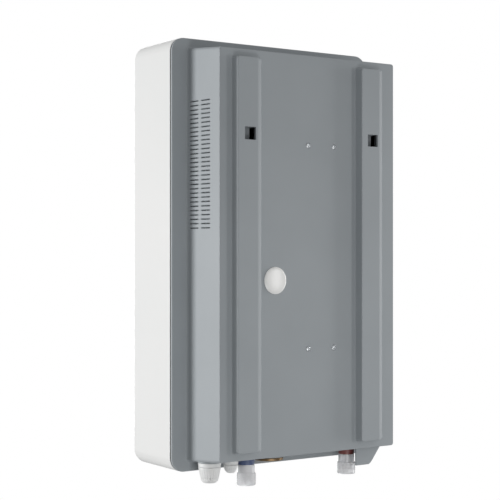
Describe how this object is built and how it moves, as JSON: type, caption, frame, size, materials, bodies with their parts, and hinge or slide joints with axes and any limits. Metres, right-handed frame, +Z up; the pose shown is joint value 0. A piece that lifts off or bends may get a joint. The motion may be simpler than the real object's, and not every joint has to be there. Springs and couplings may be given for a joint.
{
  "type": "wall-hung electric boiler",
  "caption": "Slim wall-hung electric boiler: white cover on a drafted grey rear housing with hanging rails, side vents, cable glands and capped pipe tails.",
  "frame": {"origin": "on the wall plane, midway between the two hanging rails, at half the height of the cover", "axes": "+Z up, +Y into the wall, -Y out of the front, +X towards the vented side"},
  "size_m": [0.289, 0.1682, 0.5183],
  "materials": {
    "housing_grey": "mid-grey moulded ABS, fine spark-eroded grain",
    "cover_white": "white moulded ABS, satin",
    "seal_rubber": "black rubber",
    "plated_steel": "zinc-plated steel",
    "stainless": "stainless steel",
    "smoked_lens": "smoked acrylic, polished",
    "board_green": "solder-masked circuit board",
    "key_grey": "light-grey moulded keys",
    "plug_white": "white moulded plastic",
    "gland_grey": "light-grey polyamide",
    "cap_clear": "translucent polyethylene",
    "collar_blue": "blue plastic",
    "collar_red": "red plastic",
    "copper": "bright drawn copper",
    "brass": "machined brass",
    "tank_black": "glass-filled polyamide",
    "black_phenolic": "black phenolic",
    "reset_red": "red plastic",
    "sink_alloy": "extruded aluminium",
    "relay_blue": "blue relay case",
    "terminal_cream": "cream polyamide"
  },
  "bodies": {
    "housing": {"blanking_plug": "plug_white", "cable_clamp": "gland_grey", "control_gland_body": "gland_grey", "control_gland_locknut": "gland_grey", "control_gland_seal": "seal_rubber", "cover_screw_1": "plated_steel", "cover_screw_2": "plated_steel", "cover_seal": "seal_rubber", "display_board": "board_green", "display_lens": "smoked_lens", "earth_stud": "brass", "feed_pipe": "copper", "filter_plug": "brass", "flow_sensor_body": "black_phenolic", "front_cover": "cover_white", "head_bolt_1": "plated_steel", "head_bolt_2": "plated_steel", "head_bolt_3": "plated_steel", "head_bolt_4": "plated_steel", "head_gasket": "seal_rubber", "heat_sink": "sink_alloy", "heater_head": "brass", "heater_tank": "tank_black", "heating_element_1": "stainless", "heating_element_2": "stainless", "heating_element_3": "stainless", "inlet_block": "brass", "inlet_collar": "collar_blue", "inlet_pipe": "copper", "inlet_strainer": "stainless", "mains_gland_body": "gland_grey", "mains_gland_locknut": "gland_grey", "mains_gland_seal": "seal_rubber", "outlet_collar": "collar_red", "outlet_pipe": "copper", "outlet_sensor": "black_phenolic", "power_board": "board_green", "rear_housing": "housing_grey", "safety_cutout": "black_phenolic", "safety_relay": "relay_blue", "tank_screw_1": "plated_steel", "tank_screw_2": "plated_steel", "tank_screw_3": "plated_steel", "tank_screw_4": "plated_steel", "terminal_block": "terminal_cream", "triac_1": "black_phenolic", "triac_2": "black_phenolic", "triac_3": "black_phenolic"},
    "power_button": {"power_button": "key_grey"},
    "minus_button": {"minus_button": "key_grey"},
    "plus_button": {"plus_button": "key_grey"},
    "cutout_button": {"cutout_button": "reset_red"},
    "flow_turbine": {"flow_turbine": "plug_white"},
    "mains_gland_nut": {"mains_gland_nut": "gland_grey"},
    "control_gland_nut": {"control_gland_nut": "gland_grey"},
    "inlet_cap": {"inlet_cap": "cap_clear"},
    "outlet_cap": {"outlet_cap": "cap_clear"}
  },
  "joints": [
    {"name": "power_button_press", "type": "slide", "parent": "housing", "child": "power_button", "axis": [0, 1, 0], "range_m": [0, 0.001], "stiffness_N_per_m": 400, "springref_m": -0.0005},
    {"name": "minus_button_press", "type": "slide", "parent": "housing", "child": "minus_button", "axis": [0, 1, 0], "range_m": [0, 0.001], "stiffness_N_per_m": 400, "springref_m": -0.0005},
    {"name": "plus_button_press", "type": "slide", "parent": "housing", "child": "plus_button", "axis": [0, 1, 0], "range_m": [0, 0.001], "stiffness_N_per_m": 400, "springref_m": -0.0005},
    {"name": "cutout_reset", "type": "slide", "parent": "housing", "child": "cutout_button", "axis": [0, 1, 0], "range_m": [0, 0.0015], "stiffness_N_per_m": 400, "springref_m": -0.0005},
    {"name": "turbine_spin", "type": "hinge", "parent": "housing", "child": "flow_turbine", "pos_m": [0.0265, -0.053, -0.187], "axis": [0, 0, 1], "continuous": true},
    {"name": "mains_nut_turn", "type": "hinge", "parent": "housing", "child": "mains_gland_nut", "pos_m": [0.1103, -0.053, -0.25], "axis": [0, 0, 1], "range_deg": [0, 720]},
    {"name": "control_nut_turn", "type": "hinge", "parent": "housing", "child": "control_gland_nut", "pos_m": [0.0809, -0.053, -0.25], "axis": [0, 0, 1], "range_deg": [0, 720]},
    {"name": "inlet_cap_pull", "type": "slide", "parent": "housing", "child": "inlet_cap", "axis": [0, 0, -1], "range_m": [0, 0.02]},
    {"name": "outlet_cap_pull", "type": "slide", "parent": "housing", "child": "outlet_cap", "axis": [0, 0, -1], "range_m": [0, 0.02]}
  ]
}
